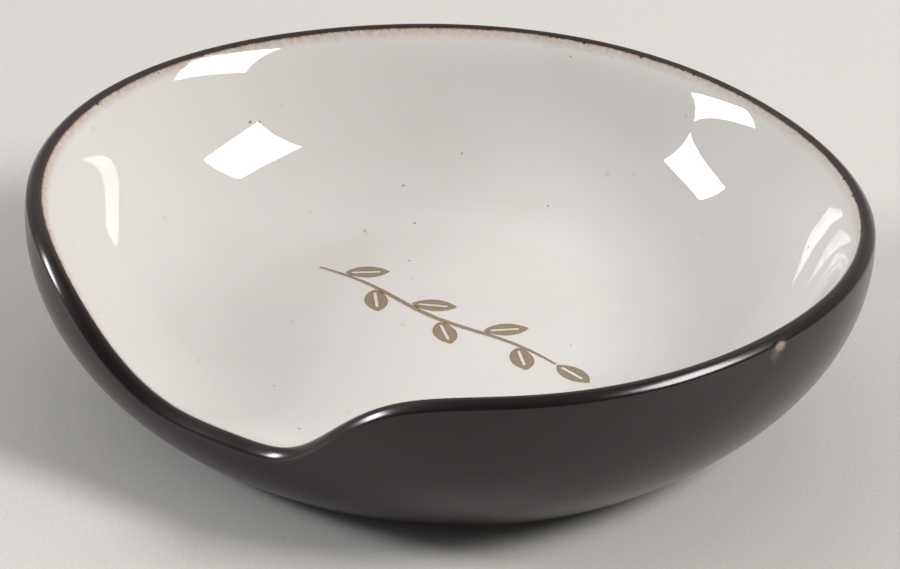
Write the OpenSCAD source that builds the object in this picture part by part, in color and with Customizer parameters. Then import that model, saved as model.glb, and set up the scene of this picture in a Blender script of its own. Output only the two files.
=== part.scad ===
// Round stoneware spoon rest, a shallow hand-shaped dish in millimetres.
// +Z is up and the dish stands on z = 0 with the middle of its base at the origin.
// The rim dips towards -Y, where the spoon's handle lies.
// Angles round the dish are counted from the notch, positive towards +X.

/* [Bowl] */
// Diameter of the rim over its outside edge
rim_d = 127; // [115:1:140]
// Height of the rim away from the notch
rim_h = 32.3; // [29:0.1:38]
// Diameter where the outside wall leaves the flat underside
underside_d = 84; // [78:1:90]
// How quickly the outside wall turns upright
wall_turn = 1.75; // [1.5:0.05:2.2]
// How square the outside wall is at its foot, less is squarer
wall_softness = 0.64; // [0.58:0.01:0.75]
// Radius of the rounded rim
crown_r = 1.5; // [1.3:0.1:1.9]

/* [Base] */
// Distance that the bare base is set in from the edge of the underside
base_inset = 4; // [3.2:0.1:8]
// Height that the base lifts the glazed underside
base_h = 1; // [0.8:0.1:1.6]
// Width of the chamfer round the base
base_chamfer = 0.4; // [0.2:0.1:0.6]

/* [Inside] */
// Height of the inside floor
floor_h = 7.8; // [6.5:0.1:8.5]
// Diameter of the flat part of the inside floor
floor_d = 59; // [56:1:64]
// Angle past the top of the rim where the inside wall begins
flare_angle = 45; // [40:1:50]

/* [Notch] */
// Depth of the dip in the rim
notch_drop = 18.4; // [12:0.2:19]
// Angle from the notch to half its depth, on the left
notch_left = 28.5; // [24:0.5:34]
// Angle from the notch to half its depth, on the right
notch_right = 21.7; // [19:0.1:30]
// How steep the sides of the notch are
notch_steepness = 2.05; // [1.6:0.05:2.6]
// Lean of the front wall towards the middle, at the full height of the rim
notch_lean = 10.5; // [6:0.5:12]
// Angle round the dish over which that lean fades
lean_spread = 34; // [28:1:45]

/* [Hand shaping] */
// Rise and fall of the rim once round
rim_tilt = 0.4; // [0:0.1:0.8]
// Rim out of round, twice in a turn
swell_two = 0.45; // [0:0.05:0.8]
// Rim out of round, four times in a turn
swell_four = 0.28; // [0:0.02:0.5]
// Rim out of round, five times in a turn
swell_five = 0.37; // [0:0.01:0.5]
// Fullness of the outside wall at half height
belly = 1.2; // [0.6:0.1:1.8]
// How much fuller the wall is on one side than on the other
belly_skew = 0.42; // [0:0.02:0.6]

/* [Glaze] */
// Thickness of both glazes
glaze_t = 0.4; // [0.3:0.05:0.6]
// Angle past the top of the rim where the two glazes meet
line_angle = 33; // [30:1:36]
// How much further in they meet at the notch, and less far opposite
line_swing = 6; // [0:1:8]
// Width of the bare clay between the base and the glaze
bare_w = 1.5; // [0.8:0.1:1.8]

/* [Stamped sprig] */
// Gap between the start of the stem and the edge of the flat floor
sprig_left_gap = 0.8; // [0.8:0.1:6]
// Gap between the tip of the end leaf and the edge of the flat floor
sprig_right_gap = 3.2; // [0.8:0.1:8]
// Distance of the sprig behind the dish's middle
sprig_back = 5.5; // [0:0.5:9]
// Turn of the sprig about the upright
sprig_turn = -2.5; // [-8:0.5:8]
// Width of the stem
stem_w = 0.9; // [0.7:0.1:1.3]
// Height of the stem's waves
stem_wave = 0.8; // [0.2:0.1:1.2]
// Length of a leaf
leaf_l = 7; // [5:0.5:8]
// Width of a leaf
leaf_w = 3.6; // [2.6:0.1:4]
// Width of the bare vein along a leaf
vein_w = 0.6; // [0.4:0.05:0.8]
// Angle between a leaf and the stem
leaf_angle = 40; // [32:1:48]
// Gap between a leaf and the stem
leaf_gap = 0.35; // [0.25:0.05:0.6]
// Thickness of the fired stain
stain_t = 0.15; // [0.1:0.05:0.3]

/* [Hidden] */

// Sections round the dish, and steps along each section
around = 72;
wall_steps = 12;
crown_steps = 6;
bowl_steps = 12;
line_index = wall_steps + 1 + crown_steps;
last_index = line_index + 1 + bowl_steps;

// Where the hand-shaped swells point
tilt_turn = -40;
swell_two_turn = -45;
swell_four_turn = 29;
swell_five_turn = 48;
belly_turn = 45;

rim_r = rim_d / 2;
underside_r = underside_d / 2;
base_r = underside_r - base_inset;
floor_r = floor_d / 2;
glaze_stop_r = base_r + bare_w;
wall_h = rim_h - crown_r - base_h;
clay_floor = floor_h - glaze_t;
clay_underside = base_h + glaze_t;

// Reach of the inside wall's curve over the floor, and below the rim,
// as shares of that wall's width and height, all round and in the notch
heel_share = 0.78;
notch_heel_share = 0.55;
flare_share = 0.34;
notch_flare_share = 0.5;
// Crowds the wall's points together near the base, where it turns most
crowding = 1.6;

// The sprig runs across the flat floor, from the start of its stem to the tip of its end leaf
sprig_start_x = -sqrt(pow(floor_r - sprig_left_gap, 2) - pow(sprig_back, 2));
sprig_tip_x = sqrt(pow(floor_r - sprig_right_gap, 2) - pow(sprig_back, 2));
stem_l = sprig_tip_x - sprig_start_x - leaf_gap - leaf_l;
// Leaves in pairs along the stem, with one more at its end
leaf_places_shares = [0.09, 0.24, 0.39, 0.54, 0.69, 0.84];
stem_turns = 1.5;
stem_steps = 48;
// The bare vein's start and end along a leaf
vein_start_share = 0.14;
vein_end_share = 0.8;
// How much of a stem's width is left at its ends
stem_taper_share = 0.45;
curve_fn = 96;

function blend(from, to, share) = from + (to - from) * share;

// 1 in the middle of the notch, falling to 0 away from it
function dip(a) = 1 / (1 + pow(abs(a) / (a < 0 ? notch_left : notch_right), 2 * notch_steepness));

function rim_top(a) = rim_h - notch_drop * dip(a) + rim_tilt * cos(a - tilt_turn);

function swell(a) = swell_two * cos(2 * (a - swell_two_turn))
    + swell_four * cos(4 * (a - swell_four_turn))
    + swell_five * cos(5 * (a - swell_five_turn));

function lean(a) = notch_lean * exp(-pow(a / lean_spread, 2));

// Share of the full wall's height
function rise(z) = min(1, max(0, (z - base_h) / wall_h));

// Radius of the outside wall at a height
function wall_r(a, z) =
    let (t = rise(z), upright = pow(1 - pow(1 - t, wall_turn), wall_softness))
    blend(underside_r, rim_r, upright) * (1 + swell(a) / rim_r)
    - lean(a) * t
    + (belly - belly_skew * cos(a - belly_turn)) * sin(180 * t);

// The rounded rim's centre and the angle at which the outside wall runs into it
function crown(a) =
    let (z = rim_top(a) - crown_r,
         slope = atan((wall_r(a, z) - wall_r(a, z - crown_r)) / crown_r),
         wall_top = z - crown_r * sin(slope))
    [wall_r(a, wall_top) - crown_r * cos(slope), z, -90 - slope, wall_top];

// A point of the rounded rim, at an angle past its top towards the inside
function crown_point(c, angle) = [c[0] - crown_r * sin(angle), c[1] + crown_r * cos(angle)];

function wall_point(a, c, share) =
    let (z = blend(base_h, c[3], pow(share, crowding)))
    [wall_r(a, z), z];

// The inside wall is one curve from the rim down to the flat floor
function bowl_point(a, c, share) =
    let (top = crown_point(c, flare_angle),
         foot = [floor_r, floor_h],
         reach = blend(flare_share, notch_flare_share, dip(a)) * (top[1] - floor_h),
         heel = blend(heel_share, notch_heel_share, dip(a)) * (top[0] - floor_r),
         under_rim = top - reach * [cos(flare_angle), sin(flare_angle)],
         on_floor = foot + [heel, 0],
         rest = 1 - share)
    rest * rest * rest * top + 3 * rest * rest * share * under_rim
    + 3 * rest * share * share * on_floor + share * share * share * foot;

// The glazed surface from the underside, up and over the rim, to the floor
function skin(a) =
    let (c = crown(a), line = line_angle + line_swing * cos(a))
    concat(
        [[glaze_stop_r, base_h]],
        [for (j = [0:wall_steps]) wall_point(a, c, j / wall_steps)],
        [for (j = [1:crown_steps]) crown_point(c, blend(c[2], line, j / crown_steps))],
        [crown_point(c, flare_angle)],
        [for (j = [1:bowl_steps]) bowl_point(a, c, j / bowl_steps)]
    );

// Direction into the clay, square to the surface at one point of a section
function inward(s, j) =
    let (d = j == 0 ? [1, 0] : j == last_index ? [-1, 0] : s[j + 1] - s[j - 1])
    [-d[1], d[0]] / norm(d);

// The clay's surface under the glaze
function under_glaze(s) = [for (j = [0:last_index]) s[j] + glaze_t * inward(s, j)];

turns = [for (i = [0:around - 1]) i * 360 / around - 180];
skins = [for (a = turns) skin(a)];
clays = [for (s = skins) under_glaze(s)];

function turned(a, p) = [p[0] * sin(a), -p[0] * cos(a), p[1]];

function placed(sections) = [for (i = [0:around - 1]) each [for (p = sections[i]) turned(turns[i], p)]];

function wound(f, flipped) = flipped ? [f[2], f[1], f[0]] : f;

// The two triangles between neighbouring sections, from one point to the next
function patch(i, j, k, m, flipped) =
    let (n = (i + 1) % around)
    [wound([i * m + j, n * m + k, n * m + j], flipped),
     wound([i * m + j, i * m + k, n * m + k], flipped)];

// A solid of open sections, closed by one point on the axis at either end
module capped(sections, first, last, flipped) {
    m = len(sections[0]);
    ends = around * m;
    polyhedron(
        points = concat(placed(sections), [[0, 0, first], [0, 0, last]]),
        faces = concat(
            [for (i = [0:around - 1], j = [0:m - 2]) each patch(i, j, j + 1, m, flipped)],
            [for (i = [0:around - 1]) wound([i * m, ((i + 1) % around) * m, ends], flipped)],
            [for (i = [0:around - 1])
                wound([((i + 1) % around) * m + m - 1, i * m + m - 1, ends + 1], flipped)]
        )
    );
}

// A solid of closed sections that runs right round the axis
module ringed(sections, flipped) {
    m = len(sections[0]);
    polyhedron(
        points = placed(sections),
        faces = [for (i = [0:around - 1], j = [0:m - 1]) each patch(i, j, (j + 1) % m, m, flipped)]
    );
}

// The fired clay with its flat unglazed base
module clay_body() {
    color("#b79672") {
        capped(clays, clay_underside, clay_floor, false);
        rotate_extrude($fn = curve_fn)
            polygon([
                [0, 0],
                [base_r - base_chamfer, 0],
                [base_r, base_chamfer],
                [base_r, clay_underside + glaze_t],
                [0, clay_underside + glaze_t]
            ]);
    }
}

// White glaze over the inside, from the line on the rim down to the floor
module liner_glaze() {
    sections = [for (i = [0:around - 1]) concat(
        [for (j = [last_index:-1:line_index]) skins[i][j]],
        [for (j = [line_index:last_index]) clays[i][j]]
    )];
    color("#d8d4cd") capped(sections, floor_h, clay_floor, true);
}

// Black glaze over the rim and the outside, down to the bare clay round the base
module outer_glaze() {
    sections = [for (i = [0:around - 1]) concat(
        [for (j = [0:line_index]) clays[i][j]],
        [for (j = [line_index:-1:0]) skins[i][j]]
    )];
    color("#2f2c2a") ringed(sections, true);
}

// Places what is stamped on the inside floor
module stamped() {
    translate([sprig_start_x + stem_l / 2, sprig_back, floor_h])
        rotate(sprig_turn)
        color("#94876b")
        linear_extrude(stain_t)
        children();
}

function stem_middle(share) = [stem_l * (share - 1 / 2), stem_wave * sin(360 * stem_turns * share)];

function stem_slope(share) = atan(stem_wave * stem_turns * 2 * PI * cos(360 * stem_turns * share) / stem_l);

function stem_half(share) = stem_w / 2 * blend(stem_taper_share, 1, sin(180 * share));

function stem_edge(share, side) =
    let (slope = stem_slope(share))
    stem_middle(share) + side * stem_half(share) * [-sin(slope), cos(slope)];

module sprig_stem() {
    stamped()
        polygon(concat(
            [for (i = [0:stem_steps]) stem_edge(i / stem_steps, 1)],
            [for (i = [stem_steps:-1:0]) stem_edge(i / stem_steps, -1)]
        ));
}

// A pointed leaf along +X from the origin, split by its bare vein
module leaf() {
    bow_r = (leaf_l * leaf_l + leaf_w * leaf_w) / (4 * leaf_w);
    difference() {
        intersection_for (side = [-1, 1])
            translate([leaf_l / 2, side * (bow_r - leaf_w / 2)])
            circle(bow_r, $fn = curve_fn);
        translate([leaf_l * vein_start_share, -vein_w / 2])
            square([leaf_l * (vein_end_share - vein_start_share), vein_w]);
    }
}

// One leaf beside the stem, the odd ones above it and the even ones below,
// and the last one at the stem's end
module sprig_leaf(n) {
    at_end = n > len(leaf_places_shares);
    share = at_end ? 1 : leaf_places_shares[n - 1];
    side = n % 2 == 1 ? 1 : -1;
    slope = stem_slope(share);
    start = at_end ? stem_middle(share) + leaf_gap * [cos(slope), sin(slope)]
        : stem_edge(share, side) + side * leaf_gap * [-sin(slope), cos(slope)];
    stamped()
        translate(start)
        rotate(slope + (at_end ? 0 : side * leaf_angle))
        leaf();
}

clay_body();
liner_glaze();
outer_glaze();
sprig_stem();
for (n = [1:len(leaf_places_shares) + 1])
    sprig_leaf(n);
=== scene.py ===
"""A round stoneware spoon rest on a pale table, under two soft boxes.

The dish is glazed white inside and black outside. Its rim dips in front for the spoon's handle, and a
sprig is stamped on its floor. The dish's sizes are in millimetres, as a potter measures them, and the
meshes and the studio are in metres. Angles round the dish are in degrees from the notch, positive
towards +X.
"""

import logging
import math
from collections.abc import Mapping, Sequence
from dataclasses import dataclass
from enum import Enum
from typing import Union

import bpy
import numpy as np
from mathutils import Matrix, Vector


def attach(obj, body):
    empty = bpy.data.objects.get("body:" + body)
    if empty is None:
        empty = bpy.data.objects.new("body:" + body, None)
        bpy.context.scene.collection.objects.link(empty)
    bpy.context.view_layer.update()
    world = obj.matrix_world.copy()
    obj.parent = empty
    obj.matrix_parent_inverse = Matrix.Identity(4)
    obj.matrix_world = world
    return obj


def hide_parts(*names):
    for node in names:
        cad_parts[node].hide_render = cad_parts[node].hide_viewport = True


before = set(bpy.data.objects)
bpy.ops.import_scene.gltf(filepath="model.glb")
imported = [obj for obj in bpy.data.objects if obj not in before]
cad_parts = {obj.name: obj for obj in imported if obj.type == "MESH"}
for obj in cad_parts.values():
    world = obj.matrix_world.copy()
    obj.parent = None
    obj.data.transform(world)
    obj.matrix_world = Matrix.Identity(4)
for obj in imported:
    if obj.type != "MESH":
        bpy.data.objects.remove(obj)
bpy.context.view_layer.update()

LOG = logging.getLogger("spoon_rest")
MM = 0.001
BODY = "root"

Rgb = tuple[float, float, float]
Number = Union[float, "Wire"]
Amount = Union[float, np.ndarray, "Wire"]


class Slot(Enum):
    """The record's material slots."""

    CLAY = "bare_clay"
    WHITE = "white_glaze"
    BLACK = "black_glaze"
    STAIN = "taupe_stain"


class Trait(Enum):
    """Numbers that a mesh carries at its vertices for its finish to read."""

    LINE_GAP = "line_gap"
    CHIP = "chip"
    SMEAR = "smear"
    STAIN_INSET = "stain_inset"


class LeafSide(Enum):
    """Where a leaf sits on the stem."""

    ABOVE = 1
    BELOW = -1
    END = 0


def sind(angle: np.ndarray | float) -> np.ndarray | float:
    """The sine of an angle in degrees."""
    return np.sin(np.radians(angle))


def cosd(angle: np.ndarray | float) -> np.ndarray | float:
    """The cosine of an angle in degrees."""
    return np.cos(np.radians(angle))


def blend(low: Amount, high: Amount, share: Amount) -> Amount:
    """The value that lies a share of the way from low to high."""
    return low + (high - low) * share


def steps(count: int) -> np.ndarray:
    """Even shares of a way, from the end of its first step to 1."""
    return np.arange(1, count + 1) / count


def heading(angle: np.ndarray | float) -> np.ndarray:
    """The unit vectors at angles from the first axis towards the second."""
    return np.stack([cosd(angle), sind(angle)], -1)


def turned_by(angle: float, flat: np.ndarray) -> np.ndarray:
    """Flat points turned round the origin by an angle."""
    return flat[:, :1] * heading(angle) + flat[:, 1:] * heading(angle + 90)


def level(radius: np.ndarray, height: float) -> np.ndarray:
    """Points of a section at one height."""
    return np.stack([radius, np.full_like(radius, height)], -1)


def paint(red: float, green: float, blue: float) -> Rgb:
    """The colour in linear light that screen values from 0 to 255 stand for."""
    shares = [value / 255 for value in (red, green, blue)]
    return tuple(s / 12.92 if s <= 0.04045 else ((s + 0.055) / 1.055) ** 2.4 for s in shares)


def linked(name: str, data: bpy.types.ID) -> bpy.types.Object:
    """Puts a new object in the scene.

    Args:
        name: Its name.
        data: Its mesh, lamp or camera.

    Returns:
        The object.
    """
    thing = bpy.data.objects.new(name, data)
    bpy.context.scene.collection.objects.link(thing)
    return thing


@dataclass(frozen=True)
class DishForm:
    """The dish's shape as sections round its axis, in millimetres and degrees."""

    rim_r: float = 63.5
    rim_h: float = 32.3
    underside_r: float = 42.0
    wall_turn: float = 1.75
    wall_softness: float = 0.64
    crown_r: float = 1.5
    crown_bevel: float = 0.04
    bevel_fade: float = 30.0
    base_inset: float = 4.0
    base_h: float = 1.0
    base_chamfer: float = 0.4
    floor_h: float = 7.8
    floor_r: float = 29.5
    flare_angle: float = 45.0
    notch_drop: float = 18.4
    notch_left: float = 28.5
    notch_right: float = 21.7
    notch_steepness: float = 2.05
    notch_lean: float = 10.5
    lean_spread: float = 34.0
    rim_tilt: float = 0.4
    tilt_turn: float = -40.0
    swells: tuple[tuple[int, float, float], ...] = ((2, 0.45, -45.0), (4, 0.28, 29.0), (5, 0.37, 48.0))
    belly: float = 1.2
    belly_skew: float = 0.42
    belly_turn: float = 45.0
    glaze_t: float = 0.4
    line_angle: float = 33.0
    line_swing: float = 6.0
    bare_w: float = 1.5
    heel_share: float = 0.78
    notch_heel_share: float = 0.55
    flare_share: float = 0.34
    notch_flare_share: float = 0.5
    crowding: float = 1.6

    @property
    def base_r(self) -> float:
        """Radius of the bare base."""
        return self.underside_r - self.base_inset

    @property
    def glaze_stop_r(self) -> float:
        """Radius at which the outside glaze stops under the dish."""
        return self.base_r + self.bare_w

    @property
    def clay_underside(self) -> float:
        """Height of the bare clay round the base."""
        return self.base_h + self.glaze_t

    @property
    def clay_floor(self) -> float:
        """Height of the clay under the floor's glaze."""
        return self.floor_h - self.glaze_t

    def dip(self, turn: np.ndarray) -> np.ndarray:
        """How far into the notch an angle lies, from 0 outside it to 1 in its middle."""
        half = np.where(turn < 0, self.notch_left, self.notch_right)
        return 1 / (1 + (np.abs(turn) / half) ** (2 * self.notch_steepness))

    def rim_top(self, turn: np.ndarray) -> np.ndarray:
        """Height of the rim at an angle."""
        return self.rim_h - self.notch_drop * self.dip(turn) + self.rim_tilt * cosd(turn - self.tilt_turn)

    def wall_r(self, turn: np.ndarray, height: np.ndarray) -> np.ndarray:
        """Radius of the outside wall.

        Args:
            turn: Angles round the dish.
            height: Heights above the table, of a shape that goes with turn.

        Returns:
            The radii.
        """
        rise = np.clip((height - self.base_h) / (self.rim_h - self.crown_r - self.base_h), 0, 1)
        upright = (1 - (1 - rise) ** self.wall_turn) ** self.wall_softness
        swell = sum(size * cosd(times * (turn - start)) for times, size, start in self.swells)
        lean = self.notch_lean * np.exp(-((turn / self.lean_spread) ** 2))
        belly = (self.belly - self.belly_skew * cosd(turn - self.belly_turn)) * sind(180 * rise)
        return blend(self.underside_r, self.rim_r, upright) * (1 + swell / self.rim_r) - lean * rise + belly

    def line_at(self, turn: np.ndarray) -> np.ndarray:
        """Angle past the rim's top where the two glazes meet."""
        return self.line_angle + self.line_swing * cosd(turn)


@dataclass(frozen=True)
class Sections:
    """Fine sections of the dish at a set of angles, each from the foot over the rim to the floor."""

    turns: np.ndarray
    skin: np.ndarray
    clay: np.ndarray
    gap: np.ndarray
    line: int


@dataclass(frozen=True)
class SectionMaker:
    """Cuts fine sections through the dish, closer together at the chip in the rim."""

    form: DishForm
    step: float = 1.0
    fine_step: float = 0.2
    chip_turn: float = 85.0
    fine_reach: float = 2.0
    foot_steps: int = 3
    wall_steps: int = 48
    crown_steps: int = 22
    flare_steps: int = 5
    bowl_steps: int = 56
    floor_steps: int = 14

    def turns(self) -> np.ndarray:
        """The angles of the sections, in rising order."""
        by_chip = self.chip_turn + np.arange(-self.fine_reach, self.fine_reach, self.fine_step)
        return np.unique(np.round(np.concatenate([np.arange(-180, 180, self.step), by_chip]), 6))

    def cut(self) -> Sections:
        """Works out every section.

        Returns:
            The glazed surface, the clay under it and the distance of each point from the glazes' line.
        """
        form = self.form
        turns = self.turns()
        turn = turns[:, None]
        top = form.rim_top(turn) - form.crown_r
        flare = form.wall_r(turn, top) - form.wall_r(turn, top - form.crown_r)
        slope = np.degrees(np.arctan(flare / form.crown_r))
        wall_top = top - form.crown_r * sind(slope)
        centre = form.wall_r(turn, wall_top) - form.crown_r * cosd(slope)
        start, line = -90 - slope, form.line_at(turn)

        def crown(angle: np.ndarray) -> np.ndarray:
            """The round rim, squared a little by two soft bevels.

            Args:
                angle: Angles past the rim's top, one row for each section.

            Returns:
                The points at those angles.
            """
            past = np.clip((angle - start) / form.bevel_fade, 0, 1)
            squared = form.crown_bevel * cosd(4 * (angle + 45)) * past**2 * (3 - 2 * past)
            radius = form.crown_r * (1 - squared)
            return np.stack([centre - radius * sind(angle), top + radius * cosd(angle)], -1)

        foot_end = form.wall_r(turn, np.full_like(turn, form.base_h))
        foot = level(blend(foot_end, form.glaze_stop_r, steps(self.foot_steps)[::-1]), form.base_h)
        rise = np.concatenate([[0], steps(self.wall_steps)]) ** form.crowding
        height = blend(form.base_h, wall_top, rise)
        wall = np.stack([form.wall_r(turn, height), height], -1)
        over = crown(blend(start, line, steps(self.crown_steps)))
        inner = crown(blend(line, form.flare_angle, steps(self.flare_steps)))
        bowl = self.bowl(turn, crown(np.full_like(turn, form.flare_angle)))
        floor = level(form.floor_r * (1 - steps(self.floor_steps)[:-1]), form.floor_h)
        floor = np.broadcast_to(floor, (len(turns), *floor.shape))
        skin = np.concatenate([foot, wall, over, inner, bowl, floor], 1)
        at_line = self.foot_steps + self.wall_steps + self.crown_steps
        run = np.linalg.norm(np.diff(skin, axis=1), axis=-1)
        length = np.concatenate([np.zeros((len(turns), 1)), np.cumsum(run, 1)], 1)
        gap = length - length[:, at_line : at_line + 1]
        return Sections(turns, skin, skin + form.glaze_t * self.inward(skin), gap, at_line)

    @staticmethod
    def inward(skin: np.ndarray) -> np.ndarray:
        """The directions into the clay, square to each section's line.

        Args:
            skin: The glazed surface's points, section by section.

        Returns:
            One unit vector for each point.
        """
        along = np.empty_like(skin)
        along[:, 1:-1] = skin[:, 2:] - skin[:, :-2]
        along[:, 0] = (1, 0)
        along[:, -1] = (-1, 0)
        across = np.stack([-along[..., 1], along[..., 0]], -1)
        return across / np.linalg.norm(along, axis=-1, keepdims=True)

    def bowl(self, turn: np.ndarray, top: np.ndarray) -> np.ndarray:
        """The inside wall, one smooth curve from the rim down to the flat floor.

        Args:
            turn: Angles round the dish, as a column.
            top: Where the curve leaves the rim, at each angle.

        Returns:
            The curve's points at each angle.
        """
        form = self.form
        dip = form.dip(turn)
        reach = blend(form.flare_share, form.notch_flare_share, dip) * (top[..., 1] - form.floor_h)
        heel = blend(form.heel_share, form.notch_heel_share, dip) * (top[..., 0] - form.floor_r)
        under_rim = top - reach[..., None] * heading(form.flare_angle)
        on_floor = level(form.floor_r + heel, form.floor_h)
        foot = np.array([form.floor_r, form.floor_h])
        share = steps(self.bowl_steps)[None, :, None]
        rest = 1 - share
        ends = rest**3 * top + share**3 * foot
        return ends + 3 * rest**2 * share * under_rim + 3 * rest * share**2 * on_floor


class MeshMaker:
    """Makes closed meshes and puts them in the scene as pieces of the dish."""

    SHARP_ANGLE = math.radians(38)

    def piece(
        self,
        name: str,
        points: np.ndarray,
        faces: Sequence[Sequence[int]],
        traits: Mapping[Trait, np.ndarray],
        slot: Slot,
        nodes: Sequence[str],
        finish: bpy.types.Material,
    ) -> bpy.types.Object:
        """Puts one closed mesh in the scene, in place of its plain solid.

        Args:
            name: The piece's name.
            points: Its vertices in millimetres.
            faces: Its faces, each with its vertices in order.
            traits: Numbers at its vertices that its finish reads.
            slot: The record's material slot; not used.
            nodes: The plain solids that it stands for.
            finish: Its material.

        Returns:
            The new object.
        """
        mesh = bpy.data.meshes.new(name)
        mesh.from_pydata((points * MM).tolist(), [], faces)
        mesh.validate()
        for trait, values in traits.items():
            layer = mesh.attributes.new(trait.value, "FLOAT", "POINT")
            layer.data.foreach_set("value", values.astype(np.float32))
        mesh.polygons.foreach_set("use_smooth", [True] * len(mesh.polygons))
        mesh.set_sharp_from_angle(angle=self.SHARP_ANGLE)
        mesh.materials.append(finish)
        mesh.update()
        piece = linked(name, mesh)
        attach(piece, BODY)
        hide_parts(*nodes)
        LOG.info("%s: %d vertices, %d faces", name, len(mesh.vertices), len(mesh.polygons))
        return piece

    @staticmethod
    def turned(turns: np.ndarray, sections: np.ndarray) -> np.ndarray:
        """Turns radius and height into places round the axis, section by section."""
        flat = sections[..., :1] * heading(turns[:, None] - 90)
        return np.concatenate([flat, sections[..., 1:]], -1).reshape(-1, 3)

    @staticmethod
    def quads(grid: np.ndarray, rows_join: bool, columns_join: bool) -> np.ndarray:
        """The four-sided faces between neighbouring points of a grid.

        Args:
            grid: The points' numbers, in rows and columns.
            rows_join: Whether the last row joins the first.
            columns_join: Whether the last column joins the first.

        Returns:
            The faces, one in each row, with their points in order.
        """
        down, across = np.roll(grid, -1, 0), np.roll(grid, -1, 1)
        faces = np.stack([grid, across, np.roll(down, -1, 1), down], -1)
        return faces[: None if rows_join else -1, : None if columns_join else -1].reshape(-1, 4)

    def closed_on_axis(
        self, turns: np.ndarray, rings: np.ndarray, low: float, high: float
    ) -> tuple[np.ndarray, list[list[int]]]:
        """Turns sections round the axis and closes both of their ends on it.

        Args:
            turns: The sections' angles.
            rings: The radius and height of each section's points, from the low end to the high one.
            low: Height of the middle point at the low end.
            high: Height of the middle point at the high end.

        Returns:
            The points and the faces.
        """
        points = np.concatenate([self.turned(turns, rings), [[0, 0, low], [0, 0, high]]])
        grid = np.arange(len(points) - 2).reshape(rings.shape[:2])
        faces = self.quads(grid, True, False)[:, ::-1].tolist()
        for this, following in zip(grid, np.roll(grid, -1, 0)):
            faces.append([grid.size, following[0], this[0]])
            faces.append([grid.size + 1, this[-1], following[-1]])
        return points, faces


@dataclass(frozen=True)
class Wire:
    """A value on its way between shader nodes, which takes part in Python sums."""

    board: "Board"
    socket: bpy.types.NodeSocket

    def _sum(self, operation: str, *values: Number) -> "Wire":
        """Adds one Math node over the values."""
        return self.board.add("ShaderNodeMath", {"operation": operation}, dict(enumerate(values))).out()

    def __add__(self, other: Number) -> "Wire":
        """self + other."""
        return self._sum("ADD", self, other)

    __radd__ = __add__

    def __sub__(self, other: Number) -> "Wire":
        """self - other."""
        return self._sum("SUBTRACT", self, other)

    def __rsub__(self, other: Number) -> "Wire":
        """other - self."""
        return self._sum("SUBTRACT", other, self)

    def __mul__(self, other: Number) -> "Wire":
        """self * other."""
        return self._sum("MULTIPLY", self, other)

    __rmul__ = __mul__

    def __truediv__(self, other: Number) -> "Wire":
        """self / other."""
        return self._sum("DIVIDE", self, other)

    def __rtruediv__(self, other: Number) -> "Wire":
        """other / self."""
        return self._sum("DIVIDE", other, self)

    def peak(self, other: Number) -> "Wire":
        """The larger of two values."""
        return self._sum("MAXIMUM", self, other)

    def ease(self, start: float, end: float) -> "Wire":
        """Eases from 0 at start to 1 at end, where start may be the higher.

        Args:
            start: The value that gives 0.
            end: The value that gives 1.

        Returns:
            The eased value.
        """
        low, high = min(start, end), max(start, end)
        eased = self.board.add(
            "ShaderNodeMapRange",
            {"interpolation_type": "SMOOTHSTEP", "clamp": True},
            {"Value": self, "From Min": low, "From Max": high},
        ).out()
        return eased if start < end else 1 - eased


@dataclass(frozen=True)
class Stream:
    """A colour or a vector on its way between shader nodes."""

    board: "Board"
    socket: bpy.types.NodeSocket

    def __add__(self, other: Union["Stream", Rgb]) -> "Stream":
        """self + other, part by part."""
        return self.board.add("ShaderNodeVectorMath", {"operation": "ADD"}, {0: self, 1: other}).stream()

    __radd__ = __add__

    def along(self, way: Vector) -> Wire:
        """How far this vector runs in a direction."""
        node = self.board.add("ShaderNodeVectorMath", {"operation": "DOT_PRODUCT"}, {0: self, 1: way})
        return node.out("Value")

    def toward(self, other: Union["Stream", Rgb], share: Number) -> "Stream":
        """Mixes this colour with another, which shows in full at a share of 1."""
        return self.board.mix(self, other, share)


@dataclass(frozen=True)
class Made:
    """A node that is in place, with its outputs to pick from."""

    board: "Board"
    node: bpy.types.Node

    def out(self, name: Union[int, str] = 0) -> Wire:
        """One of its outputs, as a value."""
        return Wire(self.board, self.node.outputs[name])

    def stream(self, name: Union[int, str] = 0) -> Stream:
        """One of its outputs, as a colour or a vector."""
        return Stream(self.board, self.node.outputs[name])


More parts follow.
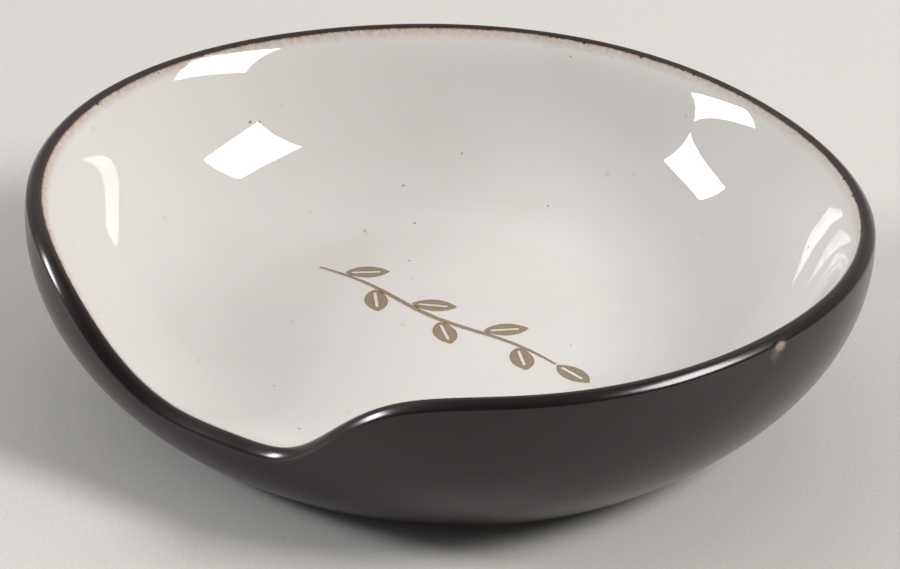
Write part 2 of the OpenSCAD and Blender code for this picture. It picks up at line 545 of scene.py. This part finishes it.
class Board:
    """The node tree of a material or of the room, on which finishes are drawn."""

    def __init__(self, owner: bpy.types.Material | bpy.types.World) -> None:
        """Starts with an empty tree.

        Args:
            owner: The material or the room that the tree belongs to.
        """
        self.owner = owner
        owner.use_nodes = True
        self.tree = owner.node_tree
        self.tree.nodes.clear()

    def add(
        self,
        kind: str,
        settings: Mapping[str, object] | None = None,
        values: Mapping[Union[int, str], object] | None = None,
    ) -> Made:
        """Adds one node.

        Args:
            kind: The node's type.
            settings: What the node itself is set to, before its sockets.
            values: What its sockets are set to or linked from.

        Returns:
            The node.
        """
        node = self.tree.nodes.new(kind)
        for key, value in (settings or {}).items():
            setattr(node, key, value)
        for key, value in (values or {}).items():
            if isinstance(value, (Wire, Stream)):
                self.tree.links.new(value.socket, node.inputs[key])
            elif isinstance(value, tuple) and node.inputs[key].type == "RGBA":
                node.inputs[key].default_value = (*value, 1)
            else:
                node.inputs[key].default_value = value
        return Made(self, node)

    def mix(self, first: Union[Stream, Rgb], second: Union[Stream, Rgb], share: Number) -> Stream:
        """Mixes two colours, of which the second shows in full at a share of 1."""
        return self.add("ShaderNodeMix", {"data_type": "RGBA"}, {0: share, 6: first, 7: second}).stream(2)

    def place(self) -> Stream:
        """The place on the dish, in millimetres."""
        values = {0: self.add("ShaderNodeTexCoord").stream("Object"), "Scale": 1 / MM}
        return self.add("ShaderNodeVectorMath", {"operation": "SCALE"}, values).stream()

    def trait(self, trait: Trait) -> Wire:
        """A number that the mesh carries."""
        return self.add("ShaderNodeAttribute", {"attribute_name": trait.value}).out("Fac")

    def cloud(self, place: Stream, grain: float, detail: float = 2.0) -> Wire:
        """Random clouds from about -1 to 1, of a size in millimetres and with finer layers in them."""
        noise = self.add("ShaderNodeTexNoise", None, {"Vector": place, "Scale": 1 / grain, "Detail": detail})
        return (noise.out("Fac") - 0.5) * 2

    def spots(self, place: Stream, spacing: float, offset: Rgb) -> tuple[Wire, Wire, Wire]:
        """Scattered spots, each with its own lot.

        Args:
            place: Where on the dish, in millimetres.
            spacing: How far apart the spots lie in space.
            offset: Moves the scatter, so that two of them differ.

        Returns:
            The distance to the nearest spot in millimetres, and two random numbers from 0 to 1 for it.
        """
        cells = self.add("ShaderNodeTexVoronoi", None, {"Vector": place + offset, "Scale": 1 / spacing})
        lots = self.add("ShaderNodeSeparateColor", None, {"Color": cells.stream("Color")})
        return cells.out("Distance") * spacing, lots.out("Red"), lots.out("Green")

    def finish(self, values: Mapping[str, object], height: Wire | None = None) -> bpy.types.Material:
        """Ends the tree in one glossy shader.

        Args:
            values: What the shader's sockets are set to or linked from.
            height: Relief of the surface in millimetres.

        Returns:
            The material.
        """
        values = dict(values)
        if height is not None:
            bump = self.add("ShaderNodeBump", None, {"Strength": 1.0, "Distance": MM, "Height": height})
            values["Normal"] = bump.stream("Normal")
        shader = self.add("ShaderNodeBsdfPrincipled", None, values)
        self.add("ShaderNodeOutputMaterial", None, {"Surface": shader.stream("BSDF")})
        return self.owner


@dataclass(frozen=True)
class Speckle:
    """Scattered round specks of one colour, each with its own size and depth, in millimetres."""

    colour: Rgb
    spacing: float
    offset: Rgb
    radii: tuple[float, float]
    core: float
    depths: tuple[float, float]

    def over(self, ground: Stream, place: Stream) -> Stream:
        """Scatters the specks over a colour.

        Args:
            ground: The colour under them.
            place: The place on the dish.

        Returns:
            The colour with the specks on it.
        """
        away, size, depth = ground.board.spots(place, self.spacing, self.offset)
        spread = away / blend(*self.radii, size)
        return ground.toward(self.colour, spread.ease(1, self.core) * blend(*self.depths, depth))


@dataclass(frozen=True)
class RimLine:
    """The broken line where the white glaze runs out against the black one, in millimetres and degrees."""

    dark: Rgb = paint(52, 36, 28)
    rust: Rgb = paint(140, 104, 82)
    blush: Rgb = paint(190, 174, 160)
    dark_w: float = 0.1
    rust_w: float = 0.5
    blush_w: float = 2.0
    fray: float = 0.16
    fray_grain: float = 0.5
    drift: float = 0.12
    drift_grain: float = 7.0
    blob_spacing: float = 1.45
    blob_offset: Rgb = (0.7, 5.3, 2.6)
    blob_r: float = 0.45
    blob_reach: float = 0.42
    blob_lots: tuple[float, float] = (0.2, 0.7)
    dot_spacing: float = 0.75
    dot_offset: Rgb = (4.1, 0.8, 6.6)
    dot_r: float = 0.22
    dot_lots: tuple[float, float] = (0.4, 0.8)
    dot_band: tuple[float, float] = (0.9, 0.2)
    strong_side: float = -100.0
    strong_band: tuple[float, float] = (-120.0, 50.0)
    patch_grain: float = 0.9
    patch_mean: float = 0.72
    patch_swing: float = 0.8
    least_rust: float = 0.1
    most_rust: float = 0.8

    def frayed(self, board: Board, place: Stream) -> Wire:
        """Frays the line and lets it drift.

        Args:
            board: The tree that it is drawn on.
            place: The place on the dish.

        Returns:
            The distance past the frayed line.
        """
        gap = board.trait(Trait.LINE_GAP)
        fray = board.cloud(place, self.fray_grain, 3) * self.fray
        drift = board.cloud(place, self.drift_grain) * self.drift
        away, lot, _ = board.spots(place, self.blob_spacing, self.blob_offset)
        blobs = away.ease(self.blob_r, self.blob_r / 3) * lot.ease(*self.blob_lots) * self.blob_reach
        return gap + fray + drift - blobs

    def over(self, white: Stream, place: Stream, gap: Wire) -> Stream:
        """Lays the line over the white glaze.

        Args:
            white: The white glaze's colour.
            place: The place on the dish.
            gap: The frayed distance past the line.

        Returns:
            The colour with the line on it.
        """
        board = white.board
        strength = place.along(direction(self.strong_side, 0)).ease(*self.strong_band)
        patchy = strength * (self.patch_mean + board.cloud(place, self.patch_grain, 3) * self.patch_swing)
        blushed = white.toward(self.blush, gap.ease(self.blush_w, self.rust_w) * patchy)
        away, lot, _ = board.spots(place, self.dot_spacing, self.dot_offset)
        dots = away.ease(self.dot_r, self.dot_r / 3) * lot.ease(*self.dot_lots)
        dotted = dots * gap.ease(*self.dot_band) * strength
        band = gap.ease(self.rust_w, self.dark_w) * (self.least_rust + patchy * self.most_rust)
        rusty = blushed.toward(self.rust, band.peak(dotted))
        return rusty.toward(self.dark, gap.ease(self.dark_w * 1.5, self.dark_w / 2))


@dataclass(frozen=True)
class WhiteGlaze:
    """Gloss off-white glaze with sparse iron specks and faint warm clouds, drier along the rim's line."""

    base: Rgb = paint(218, 215, 211)
    warm: Rgb = paint(215, 210, 205)
    warm_grain: float = 16.0
    warm_share: float = 0.5
    freckles: Speckle = Speckle(paint(190, 170, 150), 7.5, (3.1, 7.7, 1.9), (0.25, 0.85), 0.3, (0.15, 0.5))
    specks: Speckle = Speckle(paint(96, 84, 76), 5.2, (8.3, 2.9, 5.1), (0.14, 0.42), 0.35, (0.25, 0.9))
    roughness: float = 0.03
    dry_w: float = 0.5
    dry_roughness: float = 0.25
    ior: float = 1.58
    ripple_grain: float = 9.0
    ripple_h: float = 0.006
    crust_w: float = 0.9
    crust_grain: float = 0.5
    crust_h: float = 0.02
    line: RimLine = RimLine()

    def colour(self, board: Board, place: Stream) -> Stream:
        """Draws the glaze's colour away from the rim.

        Args:
            board: The tree that it is drawn on.
            place: The place on the dish.

        Returns:
            The colour.
        """
        warmth = board.cloud(place, self.warm_grain).ease(-0.2, 0.5) * self.warm_share
        clouded = board.mix(self.base, self.warm, warmth)
        return self.specks.over(self.freckles.over(clouded, place), place)

    def ripple(self, board: Board, place: Stream) -> Wire:
        """The height of the glaze's faint ripples, in millimetres."""
        return board.cloud(place, self.ripple_grain, 1) * self.ripple_h

    def material(self) -> bpy.types.Material:
        """Draws the glaze.

        Returns:
            The material.
        """
        board = Board(bpy.data.materials.new("white_glaze"))
        place = board.place()
        gap = self.line.frayed(board, place)
        crust = board.cloud(place, self.crust_grain) * gap.ease(self.crust_w, 0) * self.crust_h
        return board.finish(
            {
                "Base Color": self.line.over(self.colour(board, place), place, gap),
                "Roughness": self.roughness + gap.ease(self.dry_w, 0) * self.dry_roughness,
                "IOR": self.ior,
            },
            self.ripple(board, place) + crust,
        )


@dataclass(frozen=True)
class BlackGlaze:
    """Satin-gloss black glaze that thins to brown at the rim's inner edge, with clay bare in its chip."""

    base: Rgb = (0.0092, 0.0045, 0.0045)
    brown: Rgb = paint(60, 46, 38)
    brown_band: tuple[float, float] = (-0.7, 0.05)
    clay: Rgb = paint(158, 143, 118)
    clay_band: tuple[float, float] = (0.25, 0.85)
    rust: Rgb = paint(136, 104, 72)
    rust_grain: float = 0.6
    rust_band: tuple[float, float] = (0.6, 1.1)
    smear: Rgb = paint(96, 94, 84)
    smear_share: float = 0.75
    wear: float = 0.2
    wear_grain: float = 0.5
    roughness: float = 0.2
    uneven: float = 0.02
    uneven_grain: float = 3.0
    chip_roughness: float = 0.5
    ior: float = 1.53
    ripple_grain: float = 6.0
    ripple_h: float = 0.006
    satin_grain: float = 0.35
    satin_h: float = 0.0006
    line: RimLine = RimLine()

    def colour(self, board: Board, place: Stream) -> Stream:
        """Draws the glaze's colour, with the chip and its smear.

        Args:
            board: The tree that it is drawn on.
            place: The place on the dish.

        Returns:
            The colour.
        """
        thinned = board.mix(self.base, self.brown, self.line.frayed(board, place).ease(*self.brown_band))
        smeared = thinned.toward(self.smear, board.trait(Trait.SMEAR) * self.smear_share)
        worn = board.trait(Trait.CHIP) + board.cloud(place, self.wear_grain) * self.wear
        chipped = smeared.toward(self.clay, worn.ease(*self.clay_band))
        rusty = worn.ease(*self.rust_band) * board.cloud(place, self.rust_grain).ease(-0.4, 0.4)
        return chipped.toward(self.rust, rusty)

    def material(self) -> bpy.types.Material:
        """Draws the glaze.

        Returns:
            The material.
        """
        board = Board(bpy.data.materials.new("black_glaze"))
        place = board.place()
        uneven = board.cloud(place, self.uneven_grain) * self.uneven
        chip = board.trait(Trait.CHIP).ease(0.3, 0.6) * self.chip_roughness
        ripple = board.cloud(place, self.ripple_grain, 1) * self.ripple_h
        return board.finish(
            {
                "Base Color": self.colour(board, place),
                "Roughness": self.roughness + uneven + chip,
                "IOR": self.ior,
            },
            ripple + board.cloud(place, self.satin_grain) * self.satin_h,
        )


@dataclass(frozen=True)
class BareClay:
    """Matt fired stoneware, warm tan and grogged."""

    base: Rgb = paint(176, 148, 112)
    dark: Rgb = paint(128, 100, 72)
    dark_grain: float = 11.0
    dark_share: float = 0.5
    grog: Speckle = Speckle(paint(92, 70, 52), 1.3, (1.7, 4.3, 2.2), (0.12, 0.32), 0.5, (0.3, 0.8))
    roughness: float = 0.82
    tooth_grain: float = 0.6
    tooth_h: float = 0.03

    def material(self) -> bpy.types.Material:
        """Draws the clay.

        Returns:
            The material.
        """
        board = Board(bpy.data.materials.new("bare_clay"))
        place = board.place()
        darkness = board.cloud(place, self.dark_grain, 4).ease(-0.3, 0.7) * self.dark_share
        mottled = board.mix(self.base, self.dark, darkness)
        return board.finish(
            {"Base Color": self.grog.over(mottled, place), "Roughness": self.roughness},
            board.cloud(place, self.tooth_grain, 4) * self.tooth_h,
        )


@dataclass(frozen=True)
class TaupeStain:
    """Stamped stain, fired under the white glaze, darker at its frayed edge and with a faint rusty halo."""

    base: Rgb = paint(141, 127, 101)
    edge: Rgb = paint(108, 88, 60)
    halo: Rgb = paint(212, 184, 152)
    edge_w: float = 0.2
    halo_w: float = 0.16
    halo_share: float = 0.8
    fray: float = 0.13
    fray_grain: float = 0.55
    mottle_grain: float = 1.2
    mottle_share: float = 0.45
    added_roughness: float = 0.02
    white: WhiteGlaze = WhiteGlaze()

    def material(self) -> bpy.types.Material:
        """Draws the stain.

        Returns:
            The material.
        """
        board = Board(bpy.data.materials.new("taupe_stain"))
        place = board.place()
        inset = board.trait(Trait.STAIN_INSET) + board.cloud(place, self.fray_grain, 3) * self.fray
        outside = inset.ease(-self.halo_w, -self.halo_w / 4) * self.halo_share
        haloed = self.white.colour(board, place).toward(self.halo, outside)
        edged = haloed.toward(self.edge, inset.ease(-self.halo_w / 3, self.halo_w / 4))
        inside = inset.ease(0, self.edge_w)
        mottle = board.cloud(place, self.mottle_grain, 3).ease(0.1, 0.8) * inside * self.mottle_share
        return board.finish(
            {
                "Base Color": edged.toward(self.base, inside).toward(self.edge, mottle),
                "Roughness": self.white.roughness + self.added_roughness,
                "IOR": self.white.ior,
            },
            self.white.ripple(board, place),
        )


@dataclass(frozen=True)
class Chip:
    """A small chip on the outer side of the rim, where the clay shows, with a pale smear below it."""

    centre: tuple[float, float, float] = (63.05, -5.1, 30.6)
    reach: tuple[float, float, float] = (1.2, 1.7, 1.15)
    depth: float = 0.12
    smear_centre: tuple[float, float, float] = (63.2, -6.2, 29.8)
    smear_reach: tuple[float, float, float] = (1.3, 1.3, 1.3)
    fade_share: float = 1.25

    def cover(self, points: np.ndarray, centre: Sequence[float], reach: Sequence[float]) -> np.ndarray:
        """How much of a round mark lies at each point, from 0 to 1."""
        away = np.linalg.norm((points - np.array(centre)) / np.array(reach), axis=-1)
        return np.clip(self.fade_share - away, 0, 1)


@dataclass(frozen=True)
class Layer:
    """What each layer of the dish is made from."""

    form: DishForm
    sections: Sections
    maker: MeshMaker


@dataclass(frozen=True)
class ClayBody(Layer):
    """The fired clay under the glazes, with its flat bare base."""

    chamfer_share: float = 0.3

    def build(self) -> list[bpy.types.Object]:
        """Builds the clay.

        Returns:
            The piece.
        """
        form, cut = self.form, self.sections
        corner = form.base_chamfer * self.chamfer_share
        radii = form.base_r - np.array([form.base_chamfer, corner, 0, 0])
        base = np.stack([radii, [0, corner, form.base_chamfer, form.clay_underside]], -1)
        rings = np.concatenate([np.broadcast_to(base, (len(cut.turns), *base.shape)), cut.clay], 1)
        points, faces = self.maker.closed_on_axis(cut.turns, rings, 0, form.clay_floor)
        finish = BareClay().material()
        return [self.maker.piece("fired_clay", points, faces, {}, Slot.CLAY, ["clay_body"], finish)]


@dataclass(frozen=True)
class LinerGlaze(Layer):
    """The white glaze inside, from the line on the rim to the middle of the floor."""

    def build(self) -> list[bpy.types.Object]:
        """Builds the liner.

        Returns:
            The piece.
        """
        form, cut = self.form, self.sections
        inside = slice(cut.line, None)
        rings = np.concatenate([cut.clay[:, inside][:, ::-1], cut.skin[:, inside]], 1)
        points, faces = self.maker.closed_on_axis(cut.turns, rings, form.clay_floor, form.floor_h)
        gap = np.concatenate([cut.gap[:, inside][:, ::-1], cut.gap[:, inside]], 1)
        traits = {Trait.LINE_GAP: np.concatenate([gap.reshape(-1), [gap.max(), gap.max()]])}
        finish = WhiteGlaze().material()
        return [self.maker.piece("white_liner", points, faces, traits, Slot.WHITE, ["liner_glaze"], finish)]


@dataclass(frozen=True)
class OuterGlaze(Layer):
    """The black glaze over the rim and the outside, down to the bare clay round the base."""

    chip: Chip = Chip()

    @staticmethod
    def there_and_back(on_clay: np.ndarray, on_skin: np.ndarray) -> np.ndarray:
        """Each section's values up along the clay and back down along the glaze's skin."""
        return np.concatenate([on_clay, on_skin[:, ::-1]], 1)

    def build(self) -> list[bpy.types.Object]:
        """Builds the outer glaze, with its chip.

        Returns:
            The piece.
        """
        cut, chip = self.sections, self.chip
        outside = slice(0, cut.line + 1)
        skin = self.maker.turned(cut.turns, cut.skin[:, outside])
        clay = self.maker.turned(cut.turns, cut.clay[:, outside])
        cover = chip.cover(skin, chip.centre, chip.reach)
        smear = chip.cover(skin, chip.smear_centre, chip.smear_reach)
        inward = clay - skin
        inward /= np.linalg.norm(inward, axis=-1, keepdims=True)
        skin = skin + inward * (cover * chip.depth)[:, None]
        shape = (len(cut.turns), cut.line + 1)
        rings = self.there_and_back(clay.reshape(*shape, 3), skin.reshape(*shape, 3))
        gap, unmarked = cut.gap[:, outside], np.zeros(shape)
        traits = {
            Trait.LINE_GAP: self.there_and_back(gap, gap).reshape(-1),
            Trait.CHIP: self.there_and_back(unmarked, cover.reshape(shape)).reshape(-1),
            Trait.SMEAR: self.there_and_back(unmarked, smear.reshape(shape)).reshape(-1),
        }
        points = rings.reshape(-1, 3)
        faces = self.maker.quads(np.arange(len(points)).reshape(rings.shape[:2]), True, True).tolist()
        finish = BlackGlaze().material()
        return [self.maker.piece("black_outer", points, faces, traits, Slot.BLACK, ["outer_glaze"], finish)]


@dataclass(frozen=True)
class StampedSprig:
    """A stem with seven leaves, stamped on the floor in stain, in millimetres."""

    form: DishForm
    maker: MeshMaker
    left_gap: float = 0.8
    right_gap: float = 3.2
    back: float = 5.5
    turn: float = -2.5
    stem_w: float = 0.9
    stem_wave: float = 0.8
    stem_turns: float = 1.5
    taper_share: float = 0.45
    leaf_l: float = 7.0
    leaf_w: float = 3.6
    vein_w: float = 0.6
    vein_shares: tuple[float, float] = (0.14, 0.8)
    vein_insets: tuple[float, ...] = (0.1, 0.0, -0.1)
    vein_bluntness: float = 0.35
    leaf_angle: float = 40.0
    leaf_gap: float = 0.35
    places_shares: tuple[float, ...] = (0.09, 0.24, 0.39, 0.54, 0.69, 0.84)
    stain_t: float = 0.03
    skirt: float = 0.17
    insets: tuple[float, ...] = (0.0, 0.12, 0.25)
    least_half: float = 0.05
    around: int = 96
    stem_steps: int = 120

    @property
    def start_x(self) -> float:
        """Where the stem starts, across the dish."""
        return -math.sqrt((self.form.floor_r - self.left_gap) ** 2 - self.back**2)

    @property
    def stem_l(self) -> float:
        """The stem's length."""
        tip = math.sqrt((self.form.floor_r - self.right_gap) ** 2 - self.back**2)
        return tip - self.start_x - self.leaf_gap - self.leaf_l

    def middle(self, share: np.ndarray | float) -> np.ndarray:
        """A point on the stem's middle line."""
        wave = self.stem_wave * sind(360 * self.stem_turns * share)
        return np.stack([self.stem_l * (share - 0.5), wave], -1)

    def slope(self, share: np.ndarray | float) -> np.ndarray | float:
        """The stem's direction, in degrees."""
        steepest = self.stem_wave * self.stem_turns * 2 * np.pi / self.stem_l
        return np.degrees(np.arctan(steepest * cosd(360 * self.stem_turns * share)))

    def half(self, share: np.ndarray | float) -> np.ndarray | float:
        """Half of the stem's width."""
        return self.stem_w / 2 * blend(self.taper_share, 1, sind(180 * share))

    def edge(self, share: np.ndarray | float, side: float) -> np.ndarray:
        """A point on one edge of the stem."""
        across = heading(self.slope(share) + 90)
        return self.middle(share) + side * np.asarray(self.half(share))[..., None] * across

    def placed(self, flat: np.ndarray, height: float) -> np.ndarray:
        """Puts flat points of the sprig on the dish's floor, at a height over it."""
        on_floor = turned_by(self.turn, flat) + [self.start_x + self.stem_l / 2, self.back]
        return np.column_stack([on_floor, np.full(len(flat), self.form.floor_h + height)])

    def lens(self, inset: float) -> np.ndarray:
        """Draws the leaf's pointed outline.

        Args:
            inset: How far inside the leaf's own outline it lies.

        Returns:
            Its points, anticlockwise.
        """
        bow = (self.leaf_l**2 + self.leaf_w**2) / (4 * self.leaf_w)
        drop = bow - self.leaf_w / 2
        reach = math.sqrt((bow - inset) ** 2 - drop**2)
        angles = np.linspace(0, 360, self.around, endpoint=False)
        x = reach * cosd(angles)
        y = np.sign(sind(angles)) * (np.sqrt((bow - inset) ** 2 - x**2) - drop)
        return np.stack([x + self.leaf_l / 2, y], -1)

    def vein(self, outset: float) -> np.ndarray:
        """Draws the blunt outline of the leaf's bare vein.

        Args:
            outset: How far outside the vein's own outline it lies.

        Returns:
            Its points, anticlockwise.
        """
        first, last = (self.leaf_l * share for share in self.vein_shares)
        angles = np.linspace(0, 360, self.around, endpoint=False)
        halves = np.array([(last - first) / 2, self.vein_w / 2]) + outset
        ways = heading(angles)
        return halves * np.sign(ways) * np.abs(ways) ** self.vein_bluntness + [(first + last) / 2, 0]

    def leaf(self, number: int, finish: bpy.types.Material) -> bpy.types.Object:
        """Builds one leaf, split by its bare vein.

        Args:
            number: The leaf's number, from the stem's start.
            finish: Its material.

        Returns:
            The piece.
        """
        at_end = number > len(self.places_shares)
        side = LeafSide.END if at_end else (LeafSide.ABOVE if number % 2 else LeafSide.BELOW)
        share = 1.0 if at_end else self.places_shares[number - 1]
        slope = self.slope(share)
        if side is LeafSide.END:
            start = self.middle(share) + self.leaf_gap * heading(slope)
        else:
            start = self.edge(share, side.value) + side.value * self.leaf_gap * heading(slope + 90)
        points_at = slope + side.value * self.leaf_angle
        outer = [(self.lens(-self.skirt), -self.skirt)] + [(self.lens(d), d) for d in self.insets]
        inner = [(self.vein(d), d) for d in self.vein_insets]
        middle = ((outer[-1][0] + inner[0][0]) / 2, 2 * self.insets[-1])
        rings = [*outer, middle, *inner]
        flat = np.concatenate([ring for ring, _ in rings])
        turned = turned_by(points_at, flat) + start
        inset = np.repeat([d for _, d in rings], self.around)
        grid = np.arange(len(flat)).reshape(-1, self.around)
        top, rims = self.maker.quads(grid, False, True), [grid[0], grid[-1, ::-1]]
        return self.plate(f"leaf_{number}", turned, inset, top, rims, finish)

    def plate(
        self,
        name: str,
        flat: np.ndarray,
        inset: np.ndarray,
        top: np.ndarray,
        rims: Sequence[np.ndarray],
        finish: bpy.types.Material,
    ) -> bpy.types.Object:
        """Lays one thin closed plate of stain on the floor.

        Args:
            name: The plate's name in the sprig.
            flat: Its flat points.
            inset: How far inside its outline each point lies.
            top: The faces of its upper side.
            rims: The points along each of its edges, with the plate on the left.
            finish: Its material.

        Returns:
            The piece.
        """
        points = np.concatenate([self.placed(flat, self.stain_t), self.placed(flat, 0)])
        low = len(flat)
        walls = [np.stack([low + rim, low + np.roll(rim, -1), np.roll(rim, -1), rim], -1) for rim in rims]
        faces = np.concatenate([top, low + top[:, ::-1], *walls]).tolist()
        traits = {Trait.STAIN_INSET: np.tile(inset, 2)}
        nodes = [f"sprig_{name}"]
        return self.maker.piece(f"stamped_{name}", points, faces, traits, Slot.STAIN, nodes, finish)

    def stem(self, finish: bpy.types.Material) -> bpy.types.Object:
        """Builds the wavy stem.

        Args:
            finish: Its material.

        Returns:
            The piece.
        """
        share = np.linspace(0, 1, self.stem_steps + 1)
        over = self.skirt / self.stem_l
        share = np.concatenate([[-over], share, [1 + over]])
        half = np.asarray(self.half(np.clip(share, 0, 1)))
        across = heading(self.slope(share) + 90)
        soft = self.insets[1]
        reaches = [half + self.skirt, half, np.maximum(half - soft, self.least_half), half * 0]
        depths = [half * 0 - self.skirt, half * 0, np.minimum(half, soft), half]
        offsets = [*[-r for r in reaches], *reaches[-2::-1]]
        inset = np.stack([*depths, *depths[-2::-1]], -1)
        inset[[0, -1]] = -self.skirt
        rows = np.stack([self.middle(share) + o[:, None] * across for o in offsets], 1)
        grid = np.arange(inset.size).reshape(inset.shape)
        rim = np.concatenate([grid[:, 0], grid[-1, 1:], grid[-2::-1, -1], grid[0, -2:0:-1]])
        top = self.maker.quads(grid.T, False, False)
        return self.plate("stem", rows.reshape(-1, 2), inset.reshape(-1), top, [rim], finish)

    def build(self) -> list[bpy.types.Object]:
        """Builds the stem and its leaves.

        Returns:
            The pieces.
        """
        finish = TaupeStain().material()
        leaves = [self.leaf(number, finish) for number in range(1, len(self.places_shares) + 2)]
        return [self.stem(finish), *leaves]


def direction(azimuth: float, elevation: float) -> Vector:
    """The direction of an azimuth from -Y towards +X and an elevation, in degrees."""
    a, e = math.radians(azimuth), math.radians(elevation)
    return Vector((math.sin(a) * math.cos(e), -math.cos(a) * math.cos(e), math.sin(e)))


def facing(back: Vector, roll: float) -> Matrix:
    """The turn of a camera or a lamp that looks along -back.

    Args:
        back: The direction from the target to the camera or lamp.
        roll: How far it leans to its side, in degrees.

    Returns:
        The turn.
    """
    right = Vector((0, 0, 1)).cross(back).normalized()
    up = back.cross(right)
    cos, sin = math.cos(math.radians(roll)), math.sin(math.radians(roll))
    return Matrix((right * cos + up * sin, up * cos - right * sin, back)).transposed().to_4x4()


@dataclass(frozen=True)
class SoftBox:
    """A soft box beside the table, placed by its azimuth, elevation and distance from one place.

    The angles are in degrees, and the distance and the place that it is seen from are in metres.
    """

    name: str
    azimuth: float
    elevation: float
    roll: float
    width_angle: float
    height_angle: float
    radiance: float
    tint: Rgb
    distance: float
    seen_from: tuple[float, float, float]

    def build(self) -> bpy.types.Object:
        """Hangs the soft box, facing the place that it is seen from.

        Returns:
            The lamp.
        """
        away = direction(self.azimuth, self.elevation)
        angles = (self.width_angle, self.height_angle)
        width, height = (2 * self.distance * math.tan(math.radians(angle) / 2) for angle in angles)
        lamp = bpy.data.lights.new(self.name, "AREA")
        lamp.shape = "RECTANGLE"
        lamp.size, lamp.size_y = width, height
        lamp.energy = self.radiance * math.pi * width * height
        lamp.color = self.tint
        box = linked(self.name, lamp)
        place = Vector(self.seen_from) + away * self.distance
        box.matrix_world = Matrix.Translation(place) @ facing(away, self.roll)
        return box


@dataclass(frozen=True)
class Studio:
    """The table, the light and the camera, in metres and degrees."""

    camera_azimuth: float = 34.92
    camera_elevation: float = 28.0
    camera_distance: float = 0.65508
    camera_roll: float = 2.37
    target: tuple[float, float, float] = (-0.001304, 0.003873, 0.015)
    focal_px: float = 4284.3
    picture_w_px: float = 900.0
    sensor_w: float = 36.0
    clip: tuple[float, float] = (0.01, 20.0)
    table_side: float = 6.0
    table: Rgb = (0.72, 0.70, 0.667)
    table_dark_share: float = 0.9
    table_roughness: float = 0.6
    paper_grain: float = 0.5
    patch_grain: float = 40.0
    patch_share: float = 0.2
    near_side: Rgb = (0.153, 0.148, 0.146)
    backdrop_azimuth: float = 240.0
    backdrop: Rgb = (0.473, 0.457, 0.451)
    high_backdrop: Rgb = (0.69, 0.68, 0.67)
    ceiling: Rgb = (0.34, 0.336, 0.333)
    side_band: tuple[float, float] = (-0.5, 0.5)
    high_band: tuple[float, float] = (0.45, 0.7)
    ceiling_band: tuple[float, float] = (0.8, 0.97)
    boxes: tuple[SoftBox, ...] = (
        SoftBox(
            name="key_box",
            azimuth=109.2,
            elevation=38.2,
            roll=4.4,
            width_angle=23.4,
            height_angle=18.1,
            radiance=20.1,
            tint=(1.0, 0.99, 0.98),
            distance=1.6,
            seen_from=(-0.033, 0.040, 0.020),
        ),
        SoftBox(
            name="side_box",
            azimuth=-57.5,
            elevation=25.0,
            roll=-3.4,
            width_angle=17.8,
            height_angle=10.7,
            radiance=29.4,
            tint=(0.98, 0.985, 1.0),
            distance=3.0,
            seen_from=(0.0, 0.0, 0.015),
        ),
    )

    def build(self) -> None:
        """Sets up the whole studio."""
        self.set_camera()
        for box in self.boxes:
            box.build()
            LOG.info("%s hung", box.name)
        self.light_room()
        self.lay_table()
        bpy.context.scene.view_settings.view_transform = "Standard"

    def set_camera(self) -> None:
        """Puts the camera at the picture's view of the dish."""
        back = direction(self.camera_azimuth, self.camera_elevation)
        lens = bpy.data.cameras.new("picture_camera")
        lens.sensor_width = self.sensor_w
        lens.lens = self.focal_px * self.sensor_w / self.picture_w_px
        lens.clip_start, lens.clip_end = self.clip
        camera = linked("picture_camera", lens)
        place = Matrix.Translation(Vector(self.target) + back * self.camera_distance)
        camera.matrix_world = place @ facing(back, self.camera_roll)
        bpy.context.scene.camera = camera

    def light_room(self) -> None:
        """Gives the room a backdrop, paler higher up, a dimmer ceiling and a dark side by the camera."""
        world = bpy.data.worlds.new("room")
        bpy.context.scene.world = world
        board = Board(world)
        way = board.add("ShaderNodeTexCoord").stream("Generated")
        height = way.along(Vector((0, 0, 1)))
        behind = way.along(direction(self.backdrop_azimuth, 0))
        backdrop = board.mix(self.backdrop, self.high_backdrop, height.ease(*self.high_band))
        walls = board.mix(self.near_side, backdrop, behind.ease(*self.side_band))
        room = walls.toward(self.ceiling, height.ease(*self.ceiling_band))
        light = board.add("ShaderNodeBackground", None, {"Color": room})
        board.add("ShaderNodeOutputWorld", None, {"Surface": light.stream()})

    def lay_table(self) -> None:
        """Lays the plain pale table."""
        half = self.table_side / 2
        corners = [(-half, -half, 0), (half, -half, 0), (half, half, 0), (-half, half, 0)]
        mesh = bpy.data.meshes.new("table")
        mesh.from_pydata(corners, [], [(0, 1, 2, 3)])
        board = Board(bpy.data.materials.new("table_paper"))
        place = board.place()
        darker = tuple(part * self.table_dark_share for part in self.table)
        patches = board.cloud(place, self.patch_grain, 3) * self.patch_share
        mottle = patches + board.cloud(place, self.paper_grain)
        colour = board.mix(self.table, darker, mottle.ease(-0.6, 0.6))
        mesh.materials.append(board.finish({"Base Color": colour, "Roughness": self.table_roughness}))
        table = linked("table", mesh)


def main() -> None:
    """Builds the studio and then the dish, from the clay out."""
    logging.basicConfig(level=logging.INFO, format="%(message)s")
    form = DishForm()
    maker = MeshMaker()
    sections = SectionMaker(form).cut()
    Studio().build()
    assemblies = (
        ClayBody(form, sections, maker),
        LinerGlaze(form, sections, maker),
        OuterGlaze(form, sections, maker),
        StampedSprig(form, maker),
    )
    for assembly in assemblies:
        for piece in assembly.build():
            LOG.info("%s built", piece.name)


if __name__ == "__main__":
    main()
